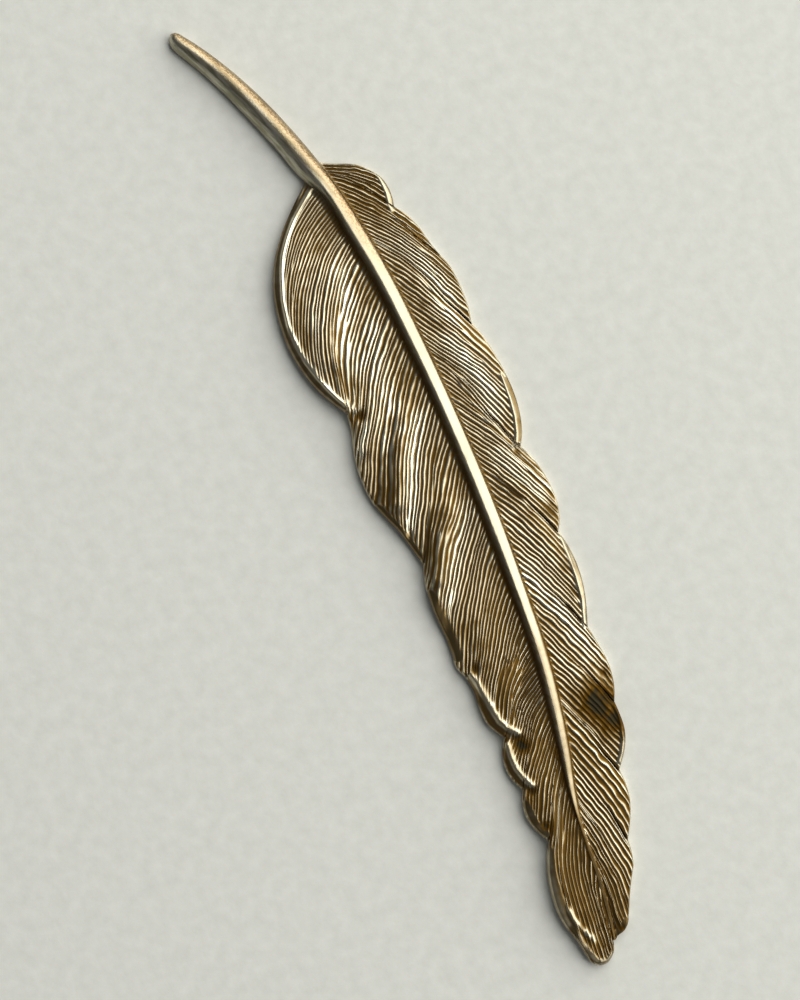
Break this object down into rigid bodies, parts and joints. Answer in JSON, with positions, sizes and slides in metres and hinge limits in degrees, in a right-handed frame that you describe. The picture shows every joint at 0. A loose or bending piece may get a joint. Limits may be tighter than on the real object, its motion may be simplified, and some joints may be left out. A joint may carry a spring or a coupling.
{
  "type": "metal feather ornament",
  "caption": "Flat-backed cast feather ornament: a bare curved quill, a raised tapering shaft and two lobed vanes engraved with slanting barbs.",
  "frame": {"origin": "middle of the feather's box, on the flat back", "axes": "+Y from the tip to the bare end of the quill, +Z out of the back through the engraved face, +X to the quill's bulging side"},
  "size_m": [0.0184, 0.1004, 0.0022],
  "materials": {
    "aged_brass": "polished ridges with dark brown patina in the grooves"
  },
  "bodies": {
    "root": {"feather": "aged_brass"}
  },
  "joints": []
}
